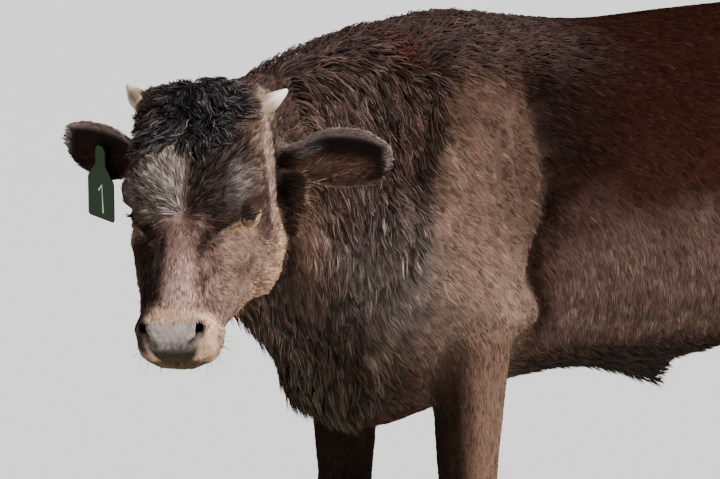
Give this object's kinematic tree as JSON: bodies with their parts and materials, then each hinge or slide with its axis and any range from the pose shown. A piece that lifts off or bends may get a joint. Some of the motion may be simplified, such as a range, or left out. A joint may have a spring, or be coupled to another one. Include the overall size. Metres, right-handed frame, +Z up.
{
  "type": "cow model",
  "caption": "Life-size still model of a young horned steer, standing, head turned to its left and lowered, with a dark shaggy coat and an ear tag",
  "frame": {"origin": "on the floor, under the middle of the animal's box", "axes": "+Z up; the animal faces -X; its left side is -Y"},
  "size_m": [1.818, 0.5534, 1.1563],
  "materials": {
    "coat": "dark brown to black hair, curly on the poll, long on the neck, short on face, shoulder and legs",
    "eye": "wet, nearly black",
    "horn": "dull cream horn, slightly ridged at the root",
    "hoof": "dark horn with growth rings",
    "tag": "dark green moulded plastic, numeral printed in white"
  },
  "bodies": {
    "root": {"head": "coat", "neck": "coat", "trunk": "coat", "tail": "coat", "tail_switch": "coat", "ear_left": "coat", "ear_right": "coat", "foreleg_left_forearm": "coat", "foreleg_left_cannon": "coat", "foreleg_left_pastern": "coat", "hindleg_left_gaskin": "coat", "hindleg_left_cannon": "coat", "hindleg_left_pastern": "coat", "foreleg_right_forearm": "coat", "foreleg_right_cannon": "coat", "foreleg_right_pastern": "coat", "hindleg_right_gaskin": "coat", "hindleg_right_cannon": "coat", "hindleg_right_pastern": "coat", "foreleg_left_claw_inner": "hoof", "foreleg_left_dewclaw_inner": "hoof", "foreleg_left_claw_outer": "hoof", "foreleg_left_dewclaw_outer": "hoof", "foreleg_right_claw_inner": "hoof", "foreleg_right_dewclaw_inner": "hoof", "foreleg_right_claw_outer": "hoof", "foreleg_right_dewclaw_outer": "hoof", "hindleg_left_claw_inner": "hoof", "hindleg_left_dewclaw_inner": "hoof", "hindleg_left_claw_outer": "hoof", "hindleg_left_dewclaw_outer": "hoof", "hindleg_right_claw_inner": "hoof", "hindleg_right_dewclaw_inner": "hoof", "hindleg_right_claw_outer": "hoof", "hindleg_right_dewclaw_outer": "hoof", "eye_left": "eye", "horn_left": "horn", "eye_right": "eye", "horn_right": "horn", "tag_panel": "tag", "tag_button": "tag"}
  },
  "joints": []
}
